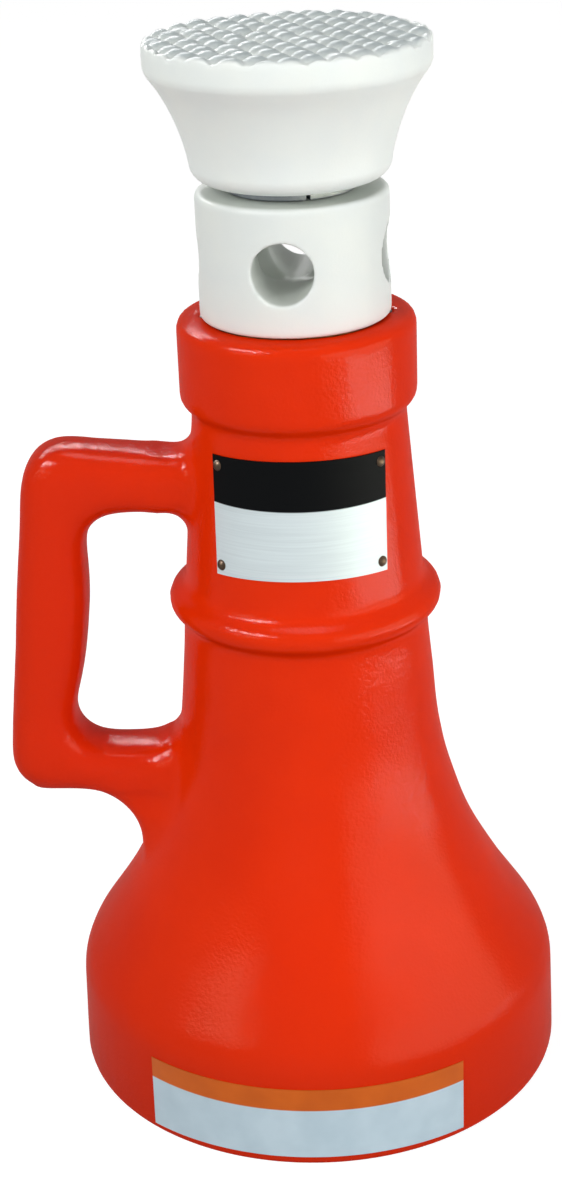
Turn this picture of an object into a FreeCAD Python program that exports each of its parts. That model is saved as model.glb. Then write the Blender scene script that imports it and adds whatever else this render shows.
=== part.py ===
"""Screw jack with a cast bell base.

An open bell of cast iron carries a flanged nut in its collar. A screw with a round, cross-drilled head
turns in the nut and rises, and a flared, serrated cap swivels on the screw's spigot. The origin is on the
screw's axis at the floor, +Z is up, the nameplate faces -Y and the handle points to -X. Lengths are in
millimetres, angles in degrees.
"""
import FreeCAD, Part
import Sketcher
import math
import os

# Driving dimensions: each is a cell of the sheet, with the alias that names it
SIZES = [
    # Bell, neck and collar of the casting
    ("base_radius", 76.0),
    ("base_draft_angle", 1.8),
    ("base_edge_round", 1.2),
    ("shoulder_height", 33.4),
    ("shoulder_round", 22.0),
    ("flare_height", 82.0),
    ("flare_round", 150.0),
    ("neck_top_radius", 31.2),
    ("neck_taper_angle", 4.9),
    ("collar_top_height", 241.0),
    ("collar_depth", 27.4),
    ("collar_stand_out", 3.3),
    ("collar_top_round", 3.0),
    ("collar_under_rise", 3.4),
    ("collar_under_round", 4.0),
    ("collar_root_round", 2.0),
    ("bead_height", 154.4),
    ("bead_stand_out", 4.62),
    ("bead_section_radius", 4.2),
    ("bead_root_round", 3.5),
    # Hollow of the casting
    ("base_wall", 10.0),
    ("flare_wall", 9.5),
    ("core_shoulder_drop", 2.0),
    ("core_shoulder_round", 18.0),
    ("core_flare_round", 60.0),
    ("core_neck_radius", 25.0),
    ("core_neck_height", 140.0),
    # Loop handle
    ("handle_width", 24.0),
    ("handle_edge_round", 5.9),
    ("upper_arm_root_depth", 14.2),
    ("upper_arm_corner_depth", 20.0),
    ("handle_top_reach", 81.5),
    ("handle_top_corner_round", 13.0),
    ("lower_arm_depth", 13.5),
    ("handle_bottom_reach", 94.0),
    ("handle_bottom_corner_round", 10.0),
    ("handle_heel_reach", 54.0),
    ("handle_heel_round", 18.0),
    ("handle_top_junction_round", 7.0),
    ("handle_bottom_junction_round", 11.0),
    ("window_below_collar", 30.6),
    ("window_top_reach", 67.0),
    ("window_bottom_height", 105.0),
    ("window_bottom_reach", 77.5),
    ("window_corner_round", 11.0),
    ("grip_swell_radius", 140.0),
    # Lifting screw
    ("thread_radius", 18.0),
    ("thread_lead", 6.0),
    ("lift_turns", 23),
    ("lift_stop_gap", 1.0),
    ("head_radius", 27.4),
    ("head_depth", 36.1),
    ("head_seat_gap", 0.3),
    ("head_top_round", 2.5),
    ("head_bottom_round", 1.0),
    ("bar_hole_radius", 9.0),
    ("bar_hole_angle", -6.0),
    ("spigot_radius", 14.0),
    ("spigot_length", 25.6),
    ("spigot_end_chamfer", 1.0),
    # Nut and its lock screws
    ("nut_length", 65.0),
    ("nut_radius", 22.5),
    ("nut_flange_radius", 25.0),
    ("nut_flange_depth", 6.0),
    ("nut_stand_out", 2.0),
    ("nut_seat_clearance", 0.02),
    ("thread_clearance", 0.08),
    ("lock_screw_radius", 2.5),
    ("lock_screw_length", 5.5),
    ("lock_screw_sink", 0.3),
    ("lock_screw_socket_flats", 2.5),
    ("lock_screw_socket_depth", 2.5),
    # Load cap
    ("cap_gap", 3.1),
    ("cap_depth", 39.5),
    ("cap_rim_radius", 39.9),
    ("cap_rim_depth", 8.5),
    ("cap_rim_round", 1.5),
    ("cap_bottom_radius", 27.9),
    ("cap_bottom_round", 5.0),
    ("cap_flare_radius", 68.0),
    ("serration_pitch", 6.3),
    ("serration_depth", 2.0),
    ("serration_groove_width", 3.8),
    ("serration_angle", 45.0),
    # Swivel bearing of the cap
    ("running_clearance", 0.05),
    ("bush_wall", 1.9),
    ("bush_length", 18.0),
    ("bush_seat_gap", 0.2),
    ("bush_end_gap", 0.5),
    ("bush_slit_width", 1.2),
    ("bush_slit_angle", 15.5),
    ("spigot_cap_clearance", 0.3),
    ("ring_wire_radius", 1.0),
    ("ring_from_spigot_end", 3.4),
    ("ring_groove_clearance", 0.2),
    ("ring_opening_angle", 24.0),
    ("thrust_washer_radius", 13.5),
    ("thrust_washer_thickness", 2.0),
    ("thrust_gap", 0.1),
    # Stop at the screw's lower end
    ("stop_washer_radius", 22.0),
    ("stop_washer_thickness", 5.0),
    ("stop_bolt_radius", 6.0),
    ("stop_bolt_reach", 25.0),
    ("stop_bolt_clearance", 0.05),
    ("stop_bolt_hole_spare", 1.0),
    ("stop_bolt_flats", 19.0),
    ("stop_bolt_head_depth", 7.5),
    ("lock_washer_radius", 10.0),
    ("lock_washer_thickness", 3.0),
    ("lock_washer_slit", 1.5),
    ("washer_hole_clearance", 0.3),
    # Nameplate, its rivets and the decal
    ("plate_width", 49.0),
    ("plate_below_collar", 6.4),
    ("plate_above_bead", 9.9),
    ("plate_thickness", 0.6),
    ("panel_gap", 0.06),
    ("rivet_inset_across", 1.8),
    ("rivet_inset_up", 2.9),
    ("rivet_head_radius", 1.6),
    ("rivet_head_height", 0.9),
    ("rivet_shank_radius", 0.9),
    ("rivet_shank_length", 5.0),
    ("rivet_clearance", 0.05),
    ("decal_width", 94.0),
    ("decal_length", 23.5),
    ("decal_bottom_height", 3.0),
    ("decal_turn_angle", -2.8),
    ("decal_thickness", 0.25),
]

doc = FreeCAD.newDocument("screw_jack")
sheet = doc.addObject("Spreadsheet::Sheet", "sizes")
for row, (alias, number) in enumerate(SIZES, start=1):
    sheet.set(f"A{row}", alias)
    sheet.set(f"B{row}", str(number))
    sheet.setAlias(f"B{row}", alias)
doc.recompute()

TOUCH = 1e-4
# Shares of a free wall, and of a bar's depth, that a round may take
BLEND_SHARE = 0.9
EDGE_SHARE = 0.44


class Measure:
    """A size worked out from the sheet: its number now, and the expression that binds it to the cells."""

    def __init__(self, number, text):
        self.number = number
        self.text = text

    def __add__(self, other):
        other = as_measure(other)
        return Measure(self.number + other.number, f"({self.text} + {other.text})")

    def __sub__(self, other):
        other = as_measure(other)
        return Measure(self.number - other.number, f"({self.text} - {other.text})")

    def __mul__(self, other):
        other = as_measure(other)
        return Measure(self.number * other.number, f"({self.text} * {other.text})")

    def __truediv__(self, other):
        other = as_measure(other)
        return Measure(self.number / other.number, f"({self.text} / {other.text})")

    def __neg__(self):
        return Measure(-self.number, f"(0 - {self.text})")


def as_measure(item):
    return item if isinstance(item, Measure) else Measure(float(item), str(item))


def tangent(angle):
    return Measure(math.tan(math.radians(angle.number)), f"tan({angle.text} * 1 deg)")


def cosine(angle):
    return Measure(math.cos(math.radians(angle.number)), f"cos({angle.text} * 1 deg)")


def least(*measures):
    return Measure(min(m.number for m in measures), "min(" + "; ".join(m.text for m in measures) + ")")


class Sizes:
    """The sheet's cells as measures, one attribute for each alias."""


s = Sizes()
for alias, number in SIZES:
    setattr(s, alias, Measure(float(sheet.get(alias)), f"sizes.{alias}"))
ZERO = as_measure(0)
# How far a cutter runs past the face that it cuts
OVERSHOOT = as_measure(1)

# Heights and radii that several pieces share
collar_bottom = s.collar_top_height - s.collar_depth
collar_radius = s.neck_top_radius + s.collar_stand_out
window_top = collar_bottom - s.window_below_collar
lower_arm_bottom = s.window_bottom_height - s.lower_arm_depth
upper_arm_root = window_top + s.upper_arm_root_depth
upper_arm_corner = window_top + s.upper_arm_corner_depth
bead_half_depth = s.bead_section_radius + s.bead_root_round
plate_top = collar_bottom - s.plate_below_collar
plate_length = plate_top - s.plate_above_bead - bead_half_depth - s.bead_height
plate_centre = plate_top - plate_length / 2
head_bottom = s.collar_top_height + s.head_seat_gap
head_top = head_bottom + s.head_depth
bar_hole_height = head_bottom + s.head_depth / 2
spigot_top = head_top + s.spigot_length
cap_bottom = head_top + s.cap_gap
cap_top = cap_bottom + s.cap_depth
nut_bottom = s.collar_top_height - s.nut_length
nut_ledge = nut_bottom + s.nut_stand_out
flange_seat = s.collar_top_height - s.nut_flange_depth
screw_end = nut_bottom - s.thread_lead * s.lift_turns - s.lift_stop_gap
bush_bore = s.spigot_radius + s.running_clearance
bush_radius = bush_bore + s.bush_wall
cap_bore = bush_radius + s.running_clearance
bush_bottom = head_top + s.bush_seat_gap
cap_bore_shoulder = bush_bottom + s.bush_length + s.bush_end_gap
cap_inner_bore = s.spigot_radius + s.spigot_cap_clearance
thrust_washer_bottom = spigot_top + s.thrust_gap
cap_roof = thrust_washer_bottom + s.thrust_washer_thickness + s.thrust_gap
ring_height = spigot_top - s.ring_from_spigot_end
ring_mean_radius = s.spigot_radius + s.spigot_cap_clearance / 2
ring_groove_half = s.ring_wire_radius + s.ring_groove_clearance


def neck_radius_at(height):
    """Radius of the tapered neck at a height."""
    return s.neck_top_radius + (collar_bottom - height) * tangent(s.neck_taper_angle)


# Outer radius of the neck's bead
bead_reach = neck_radius_at(s.bead_height) + s.bead_stand_out


def base_radius_at(height):
    """Radius of the base's drafted wall at a height."""
    return s.base_radius - height * tangent(s.base_draft_angle)


def bind(item, name, size):
    """Set a property from a measure and keep it bound to the sheet."""
    item.setExpression(name, size.text)


def new_body(name):
    return doc.addObject("PartDesign::Body", name)


def sketch_on(body, name, role="XZ_Plane"):
    """Sketch on one of the body's own origin planes."""
    plane = [item for item in body.Origin.OriginFeatures if item.Role == role][0]
    sketch = body.newObject("Sketcher::SketchObject", name)
    sketch.AttachmentSupport = [(plane, "")]
    sketch.MapMode = "FlatFace"
    return sketch


def fix(sketch, kind, geometry, point, size):
    """Hold one coordinate of a point, bound to the sheet."""
    index = sketch.addConstraint(Sketcher.Constraint(kind, geometry, point, size.number))
    if size.text != "0":
        sketch.setExpression(f"Constraints[{index}]", size.text)


def bulged_side(start, end, radius, side):
    """Arc from start to end that bulges to the left (+1) or right (-1) of the chord."""
    chord = end - start
    middle = (start + end) / 2
    left = FreeCAD.Vector(-chord.y, chord.x, 0).normalize()
    sagitta = radius - math.sqrt(radius ** 2 - (chord.Length / 2) ** 2)
    return Part.Arc(start, middle + left * sagitta * side, end)


def outline(sketch, corners, bulges=None):
    """Closed outline of (across, up) corners, whose arc sides are bulges of {side: (radius, +1 or -1)}."""
    bulges = bulges or {}
    count = len(corners)
    points = [FreeCAD.Vector(across.number, up.number, 0) for across, up in corners]
    for index in range(count):
        start, end = points[index], points[(index + 1) % count]
        if index in bulges:
            radius, side = bulges[index]
            sketch.addGeometry(bulged_side(start, end, radius.number, side), False)
        else:
            sketch.addGeometry(Part.LineSegment(start, end), False)
    ends = [end_points(sketch, index, points) for index in range(count)]
    for index in range(count):
        following = (index + 1) % count
        joint = Sketcher.Constraint("Coincident", index, ends[index][1], following, ends[following][0])
        sketch.addConstraint(joint)
    for index, (across, up) in enumerate(corners):
        fix(sketch, "DistanceX", index, ends[index][0], across)
        fix(sketch, "DistanceY", index, ends[index][0], up)
    for index, (radius, side) in bulges.items():
        constraint = sketch.addConstraint(Sketcher.Constraint("Radius", index, radius.number))
        sketch.setExpression(f"Constraints[{constraint}]", radius.text)


def end_points(sketch, index, points):
    """Numbers of the start and end point of a side: an arc keeps its points in turning order."""
    if (sketch.getPoint(index, 1) - points[index]).Length < TOUCH:
        return 1, 2
    return 2, 1


def revolve(body, name, corners, bulges=None, kind="Revolution"):
    """Turn an outline of (radius, height) corners about the Z axis."""
    sketch = sketch_on(body, f"{name}_outline")
    outline(sketch, corners, bulges)
    turned = body.newObject(f"PartDesign::{kind}", name)
    turned.Profile = sketch
    turned.ReferenceAxis = (sketch, ["V_Axis"])
    turned.Angle = 360
    doc.recompute()
    return turned


def ring_edges(shape, radius, height):
    """Names of the circular edges of one radius and height about the Z axis."""
    names = []
    for number, edge in enumerate(shape.Edges, start=1):
        is_ring = isinstance(edge.Curve, Part.Circle)
        if is_ring and math.isclose(edge.Curve.Radius, radius.number, abs_tol=TOUCH) \
                and math.isclose(edge.Curve.Center.z, height.number, abs_tol=TOUCH):
            names.append(f"Edge{number}")
    return names


def round_edges(body, name, feature, edges, size):
    """Fillet the named edges of a feature, its radius bound to the sheet."""
    fillet = body.newObject("PartDesign::Fillet", name)
    fillet.Base = (feature, edges)
    bind(fillet, "Radius", size)
    doc.recompute()
    return fillet


def round_rings(body, name, feature, rings, size):
    """Fillet the circular edges at the given (radius, height) places."""
    edges = []
    for radius, height in rings:
        edges += ring_edges(feature.Shape, radius, height)
    return round_edges(body, name, feature, edges, size)


def cylinder(name, radius, length, base_height=ZERO):
    """Upright cylinder on the Z axis."""
    solid = doc.addObject("Part::Cylinder", name)
    bind(solid, "Radius", radius)
    bind(solid, "Height", length)
    bind(solid, "Placement.Base.z", base_height)
    return solid


def frustum(name, low_radius, high_radius, low_height, high_height):
    """Upright frustum on the Z axis."""
    solid = doc.addObject("Part::Cone", name)
    bind(solid, "Radius1", low_radius)
    bind(solid, "Radius2", high_radius)
    bind(solid, "Height", high_height - low_height)
    bind(solid, "Placement.Base.z", low_height)
    return solid


def cut(name, base, *tools):
    """Base less the tools."""
    tool = tools[0]
    if len(tools) > 1:
        tool = doc.addObject("Part::MultiFuse", f"{name}_tools")
        tool.Shapes = list(tools)
    result = doc.addObject("Part::Cut", name)
    result.Base = base
    result.Tool = tool
    doc.recompute()
    return result


# Housing: the turned casting with its collar and bead

def make_turned_casting():
    body = new_body("turned_casting")
    wall_top = base_radius_at(s.shoulder_height)
    flare_radius = neck_radius_at(s.flare_height)
    collar_lip = collar_bottom + s.collar_under_rise
    bell = revolve(body, "bell", [
        (ZERO, ZERO),
        (s.base_radius, ZERO),
        (wall_top, s.shoulder_height),
        (flare_radius, s.flare_height),
        (s.neck_top_radius, collar_bottom),
        (collar_radius, collar_lip),
        (collar_radius, s.collar_top_height),
        (ZERO, s.collar_top_height),
    ])
    step = round_rings(body, "flare_blend", bell, [(flare_radius, s.flare_height)], s.flare_round)
    step = round_rings(body, "shoulder_blend", step, [(wall_top, s.shoulder_height)], s.shoulder_round)
    step = round_rings(body, "base_edge", step, [(s.base_radius, ZERO)], s.base_edge_round)
    collar_edge = (collar_radius, s.collar_top_height)
    step = round_rings(body, "collar_top_edge", step, [collar_edge], s.collar_top_round)
    step = round_rings(body, "collar_under_edge", step, [(collar_radius, collar_lip)], s.collar_under_round)
    step = round_rings(body, "collar_root", step, [(s.neck_top_radius, collar_bottom)], s.collar_root_round)
    sketch = sketch_on(body, "bead_outline")
    centre = FreeCAD.Vector((bead_reach - s.bead_section_radius).number, s.bead_height.number, 0)
    sketch.addGeometry(Part.Circle(centre, FreeCAD.Vector(0, 0, 1), s.bead_section_radius.number), False)
    fix(sketch, "DistanceX", 0, 3, bead_reach - s.bead_section_radius)
    fix(sketch, "DistanceY", 0, 3, s.bead_height)
    radius = sketch.addConstraint(Sketcher.Constraint("Radius", 0, s.bead_section_radius.number))
    sketch.setExpression(f"Constraints[{radius}]", s.bead_section_radius.text)
    bead = body.newObject("PartDesign::Revolution", "bead")
    bead.Profile = sketch
    bead.ReferenceAxis = (sketch, ["V_Axis"])
    bead.Angle = 360
    doc.recompute()
    roots = []
    for number, edge in enumerate(bead.Shape.Edges, start=1):
        ring = isinstance(edge.Curve, Part.Circle)
        if ring and abs(edge.Curve.Center.z - s.bead_height.number) < s.bead_section_radius.number:
            if edge.Curve.Radius < bead_reach.number - TOUCH:
                roots.append(f"Edge{number}")
    round_edges(body, "bead_root", bead, roots, s.bead_root_round)
    return body


# Housing: the loop handle, drawn from the axis so that the hollow trims its roots

def make_handle():
    body = new_body("loop_handle")
    sketch = sketch_on(body, "handle_outline")
    top_corner = (-s.handle_top_reach, upper_arm_corner)
    bottom_corner = (-s.handle_bottom_reach, lower_arm_bottom)
    heel_corner = (-s.handle_heel_reach, lower_arm_bottom)
    window_low_corner = (-s.window_bottom_reach, s.window_bottom_height)
    window_high_corner = (-s.window_top_reach, window_top)
    corners = [
        (ZERO, upper_arm_root),
        top_corner,
        bottom_corner,
        heel_corner,
        (-s.handle_heel_reach, s.shoulder_height),
        (ZERO, s.shoulder_height),
        (ZERO, s.window_bottom_height),
        window_low_corner,
        window_high_corner,
        (ZERO, window_top),
    ]
    outline(sketch, corners, {corners.index(window_low_corner): (s.grip_swell_radius, -1)})
    step = body.newObject("PartDesign::Pad", "handle_bar")
    step.Profile = sketch
    step.Midplane = True
    bind(step, "Length", s.handle_width)
    doc.recompute()
    for name, corner, size in (
        ("handle_top_corner", top_corner, s.handle_top_corner_round),
        ("handle_bottom_corner", bottom_corner, s.handle_bottom_corner_round),
        ("handle_heel", heel_corner, s.handle_heel_round),
        ("window_bottom_corner", window_low_corner, s.window_corner_round),
        ("window_top_corner", window_high_corner, s.window_corner_round),
    ):
        step = round_edges(body, name, step, cross_edges(step.Shape, corner), size)
    rim = [f"Edge{n}" for n, edge in enumerate(step.Shape.Edges, start=1) if on_handle_face(edge)]
    bars = [
        s.upper_arm_root_depth,
        s.lower_arm_depth,
        s.handle_top_reach - s.window_top_reach,
        s.handle_bottom_reach - s.window_bottom_reach,
    ]
    limits = [bar * EDGE_SHARE for bar in bars]
    round_edges(body, "handle_edges", step, rim, least(s.handle_edge_round, *limits))
    return body


def cross_edges(shape, corner):
    """Names of the edges that run across the handle at one corner of its outline."""
    across, up = corner
    names = []
    for number, edge in enumerate(shape.Edges, start=1):
        places = [vertex.Point for vertex in edge.Vertexes]
        if all(abs(p.x - across.number) < TOUCH and abs(p.z - up.number) < TOUCH for p in places):
            names.append(f"Edge{number}")
    return names


def on_handle_face(edge):
    """True for an edge that lies in one of the handle's two flat faces."""
    half = s.handle_width.number / 2
    return all(abs(abs(vertex.Point.y) - half) < TOUCH for vertex in edge.Vertexes) and \
        abs(edge.BoundBox.YLength) < TOUCH


# Housing: the hollow, the nut's seat, and the whole casting

def make_core():
    body = new_body("core")
    wall_top = base_radius_at(s.shoulder_height) - s.base_wall
    core_shoulder = s.shoulder_height - s.core_shoulder_drop
    flare_radius = neck_radius_at(s.flare_height) - s.flare_wall
    hollow = revolve(body, "hollow", [
        (ZERO, ZERO),
        (s.base_radius - s.base_wall, ZERO),
        (wall_top, core_shoulder),
        (flare_radius, s.flare_height),
        (s.core_neck_radius, s.core_neck_height),
        (s.core_neck_radius, nut_ledge),
        (ZERO, nut_ledge),
    ])
    step = round_rings(body, "hollow_shoulder", hollow, [(wall_top, core_shoulder)], s.core_shoulder_round)
    round_rings(body, "hollow_flare", step, [(flare_radius, s.flare_height)], s.core_flare_round)
    return body


def meeting_edges(joined, first, second):
    """Edges, with their numbers, where the skins of two joined pieces meet."""
    skins = [Part.Compound(first.Faces), Part.Compound(second.Faces)]
    found = []
    for number, edge in enumerate(joined.Edges, start=1):
        middle = Part.Vertex(edge.valueAt((edge.FirstParameter + edge.LastParameter) / 2))
        if all(middle.distToShape(skin)[0] < TOUCH for skin in skins):
            found.append((number, edge))
    return found


def blend_size(edge):
    """Round of the handle's joint, within most of the wall that the bead and the collar leave free."""
    if edge.CenterOfMass.z > (window_top + s.window_bottom_height).number / 2:
        size = s.handle_top_junction_round
        above = collar_bottom - s.collar_root_round - upper_arm_corner
        free = [window_top - s.bead_height - bead_half_depth, above]
    else:
        size = s.handle_bottom_junction_round
        free = [s.bead_height - bead_half_depth - s.window_bottom_height]
    return min([size.number] + [BLEND_SHARE * wall.number for wall in free])


def make_housing():
    turned, handle = make_turned_casting(), make_handle()
    joined = doc.addObject("Part::Fuse", "joined_casting")
    joined.Base = turned
    joined.Tool = handle
    doc.recompute()
    casting = doc.addObject("Part::Fillet", "casting")
    casting.Base = joined
    casting.Edges = [(number, blend_size(edge), blend_size(edge))
                     for number, edge in meeting_edges(joined.Shape, turned.Shape, handle.Shape)]
    core = make_core()
    nut_bore = cylinder("nut_bore", s.nut_radius, flange_seat - nut_ledge + OVERSHOOT, nut_ledge - OVERSHOOT)
    flange_bore = cylinder("flange_bore", s.nut_flange_radius, s.nut_flange_depth + OVERSHOOT, flange_seat)
    holes = [make_rivet_hole(number) for number in range(len(RIVET_SIDES))]
    locks = [make_lock_hole("housing", number) for number in range(len(LOCK_SIDES))]
    return cut("housing", casting, core, nut_bore, flange_bore, *holes, *locks)


# Nut and its lock screws, which sit half in the flange and half in the collar

LOCK_SIDES = (1, -1)


def make_lock_hole(owner, number):
    hole = cylinder(f"{owner}_lock_hole_{number + 1}", s.lock_screw_radius + s.nut_seat_clearance,
                    s.lock_screw_length + s.lock_screw_sink + OVERSHOOT,
                    s.collar_top_height - s.lock_screw_sink - s.lock_screw_length)
    bind(hole, "Placement.Base.x", s.nut_flange_radius * LOCK_SIDES[number])
    return hole


def make_nut():
    body = new_body("nut_blank")
    bore = s.thread_radius + s.thread_clearance
    fitted = s.nut_radius - s.nut_seat_clearance
    flange = s.nut_flange_radius - s.nut_seat_clearance
    revolve(body, "nut", [
        (bore, nut_bottom),
        (fitted, nut_bottom),
        (fitted, flange_seat),
        (flange, flange_seat),
        (flange, s.collar_top_height),
        (bore, s.collar_top_height),
    ])
    locks = [make_lock_hole("nut", number) for number in range(len(LOCK_SIDES))]
    return cut("lifting_nut", body, *locks)


def make_lock_screw(number):
    top = s.collar_top_height - s.lock_screw_sink
    blank = cylinder(f"lock_screw_blank_{number + 1}", s.lock_screw_radius, s.lock_screw_length,
                     top - s.lock_screw_length)
    socket = doc.addObject("Part::Prism", f"lock_screw_socket_{number + 1}")
    socket.Polygon = 6
    bind(socket, "Circumradius", s.lock_screw_socket_flats / 2 / cosine(as_measure(30)))
    bind(socket, "Height", s.lock_screw_socket_depth + OVERSHOOT)
    bind(socket, "Placement.Base.z", top - s.lock_screw_socket_depth)
    for solid in (blank, socket):
        bind(solid, "Placement.Base.x", s.nut_flange_radius * LOCK_SIDES[number])
    return cut(f"nut_lock_screw_{number + 1}", blank, socket)


# Lifting screw: shank, cross-drilled head and spigot

def make_screw():
    body = new_body("screw_blank")
    groove_bottom = ring_mean_radius - ring_groove_half
    blank = revolve(body, "screw", [
        (ZERO, screw_end),
        (s.thread_radius, screw_end),
        (s.thread_radius, head_bottom),
        (s.head_radius, head_bottom),
        (s.head_radius, head_top),
        (s.spigot_radius, head_top),
        (s.spigot_radius, ring_height - ring_groove_half),
        (groove_bottom, ring_height - ring_groove_half),
        (groove_bottom, ring_height + ring_groove_half),
        (s.spigot_radius, ring_height + ring_groove_half),
        (s.spigot_radius, spigot_top - s.spigot_end_chamfer),
        (s.spigot_radius - s.spigot_end_chamfer, spigot_top),
        (ZERO, spigot_top),
    ])
    step = round_rings(body, "head_top_edge", blank, [(s.head_radius, head_top)], s.head_top_round)
    round_rings(body, "head_bottom_edge", step, [(s.head_radius, head_bottom)], s.head_bottom_round)
    hole_depth = s.stop_bolt_reach + s.stop_bolt_hole_spare
    bolt_hole = cylinder("bolt_hole", s.stop_bolt_radius, hole_depth + OVERSHOOT, screw_end - OVERSHOOT)
    return cut("lifting_screw", body, bolt_hole, make_bar_hole(1), make_bar_hole(2))


def make_bar_hole(number):
    """Cross hole through the head, the second square to the first."""
    hole = doc.addObject("Part::Cylinder", f"bar_hole_{number}")
    bind(hole, "Radius", s.bar_hole_radius)
    length = s.head_radius * 2 + OVERSHOOT * 2
    bind(hole, "Height", length)
    across = FreeCAD.Rotation(FreeCAD.Vector(0, 0, 1), s.bar_hole_angle.number + 90 * (number - 1))
    along = across.multVec(FreeCAD.Vector(0, -1, 0))
    turn = FreeCAD.Rotation(FreeCAD.Vector(0, 0, 1), along)
    start = FreeCAD.Vector(0, 0, bar_hole_height.number) - along * (length.number / 2)
    hole.Placement = FreeCAD.Placement(start, turn)
    return hole


# Load cap with its serrated top

def make_cap():
    body = new_body("load_cap")
    rim_bottom = cap_top - s.cap_rim_depth
    flare_foot = (s.cap_bottom_radius, cap_bottom)
    groove_wall = ring_mean_radius + ring_groove_half
    corners = [
        (cap_bore, cap_bottom),
        flare_foot,
        (s.cap_rim_radius, rim_bottom),
        (s.cap_rim_radius, cap_top),
        (ZERO, cap_top),
        (ZERO, cap_roof),
        (cap_inner_bore, cap_roof),
        (cap_inner_bore, ring_height + ring_groove_half),
        (groove_wall, ring_height + ring_groove_half),
        (groove_wall, ring_height - ring_groove_half),
        (cap_inner_bore, ring_height - ring_groove_half),
        (cap_inner_bore, cap_bore_shoulder),
        (cap_bore, cap_bore_shoulder),
    ]
    blank = revolve(body, "cap", corners, {corners.index(flare_foot): (s.cap_flare_radius, 1)})
    step = round_rings(body, "cap_rim_top", blank, [(s.cap_rim_radius, cap_top)], s.cap_rim_round)
    step = round_rings(body, "cap_rim_bottom", step, [(s.cap_rim_radius, rim_bottom)], s.cap_rim_round)
    round_rings(body, "cap_bottom_edge", step, [flare_foot], s.cap_bottom_round)
    cut_serrations(body, "serration", s.serration_angle)
    cut_serrations(body, "cross_serration", s.serration_angle - 90)
    return body


def cut_serrations(body, name, angle):
    """Parallel V grooves over the cap's top, evenly spaced about its middle."""
    each_side = math.floor(s.cap_rim_radius.number / s.serration_pitch.number + 0.5)
    sketch = sketch_on(body, f"{name}_outline")
    turn = FreeCAD.Rotation(FreeCAD.Vector(0, 1, 0), angle.number)
    sketch.AttachmentOffset = FreeCAD.Placement(FreeCAD.Vector(), turn)
    first = s.serration_pitch * (0.5 - each_side)
    half_mouth = s.serration_groove_width / 2 * (s.serration_depth + OVERSHOOT) / s.serration_depth
    outline(sketch, [
        (first - half_mouth, cap_top + OVERSHOOT),
        (first, cap_top - s.serration_depth),
        (first + half_mouth, cap_top + OVERSHOOT),
    ])
    groove = body.newObject("PartDesign::Pocket", name)
    groove.Profile = sketch
    groove.Type = "ThroughAll"
    groove.Midplane = True
    doc.recompute()
    rows = body.newObject("PartDesign::LinearPattern", f"{name}_rows")
    rows.Originals = [groove]
    rows.Direction = (sketch, ["H_Axis"])
    rows.Occurrences = 2 * each_side
    bind(rows, "Length", s.serration_pitch * (2 * each_side - 1))
    body.Tip = rows
    doc.recompute()


def make_bush():
    tube = cut("bush_tube", cylinder("bush_outside", bush_radius, s.bush_length, bush_bottom),
               cylinder("bush_inside", bush_bore, s.bush_length, bush_bottom))
    slit = doc.addObject("Part::Box", "bush_slit")
    bind(slit, "Length", s.bush_slit_width)
    bind(slit, "Width", bush_radius * 2)
    bind(slit, "Height", s.bush_length)
    turn = FreeCAD.Rotation(FreeCAD.Vector(0, 0, 1), s.bush_slit_angle.number)
    corner = FreeCAD.Vector(-s.bush_slit_width.number / 2, -2 * bush_radius.number, 0)
    slit.Placement = FreeCAD.Placement(turn.multVec(corner) + FreeCAD.Vector(0, 0, bush_bottom.number), turn)
    return cut("cap_bush", tube, slit)


def make_thrust_washer():
    washer = cylinder("cap_thrust_washer", s.thrust_washer_radius, s.thrust_washer_thickness,
                      thrust_washer_bottom)
    doc.recompute()
    return washer


def make_retaining_ring():
    ring = doc.addObject("Part::Torus", "cap_retaining_ring")
    bind(ring, "Radius1", ring_mean_radius)
    bind(ring, "Radius2", s.ring_wire_radius)
    bind(ring, "Angle3", as_measure(360) - s.ring_opening_angle)
    bind(ring, "Placement.Base.z", ring_height)
    doc.recompute()
    return ring


# Stop at the screw's lower end

stop_washer_bottom = screw_end - s.stop_washer_thickness
lock_washer_bottom = stop_washer_bottom - s.lock_washer_thickness


def make_ring_washer(name, radius, thickness, height):
    hole = s.stop_bolt_radius + s.washer_hole_clearance
    return cut(name, cylinder(f"{name}_disc", radius, thickness, height),
               cylinder(f"{name}_hole", hole, thickness, height))


def make_stop_washer():
    return make_ring_washer("stop_washer", s.stop_washer_radius, s.stop_washer_thickness, stop_washer_bottom)


def make_stop_lock_washer():
    ring = make_ring_washer("lock_washer_ring", s.lock_washer_radius, s.lock_washer_thickness,
                            lock_washer_bottom)
    slit = doc.addObject("Part::Box", "lock_washer_slit_box")
    bind(slit, "Length", s.lock_washer_radius * 2)
    bind(slit, "Width", s.lock_washer_slit)
    bind(slit, "Height", s.lock_washer_thickness)
    bind(slit, "Placement.Base.z", lock_washer_bottom)
    return cut("stop_lock_washer", ring, slit)


def make_stop_bolt():
    head = doc.addObject("Part::Prism", "stop_bolt_head")
    head.Polygon = 6
    bind(head, "Circumradius", s.stop_bolt_flats / 2 / cosine(as_measure(30)))
    bind(head, "Height", s.stop_bolt_head_depth)
    bind(head, "Placement.Base.z", lock_washer_bottom - s.stop_bolt_head_depth)
    shank_length = s.lock_washer_thickness + s.stop_washer_thickness + s.stop_bolt_reach
    shank = cylinder("stop_bolt_shank", s.stop_bolt_radius - s.stop_bolt_clearance, shank_length,
                     lock_washer_bottom)
    bolt = doc.addObject("Part::Fuse", "stop_bolt")
    bolt.Base = head
    bolt.Tool = shank
    doc.recompute()
    return bolt


# Nameplate and decal: thin shells of the cone they are rolled on

RIVET_SIDES = ((-1, 1), (1, 1), (-1, -1), (1, -1))


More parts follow.
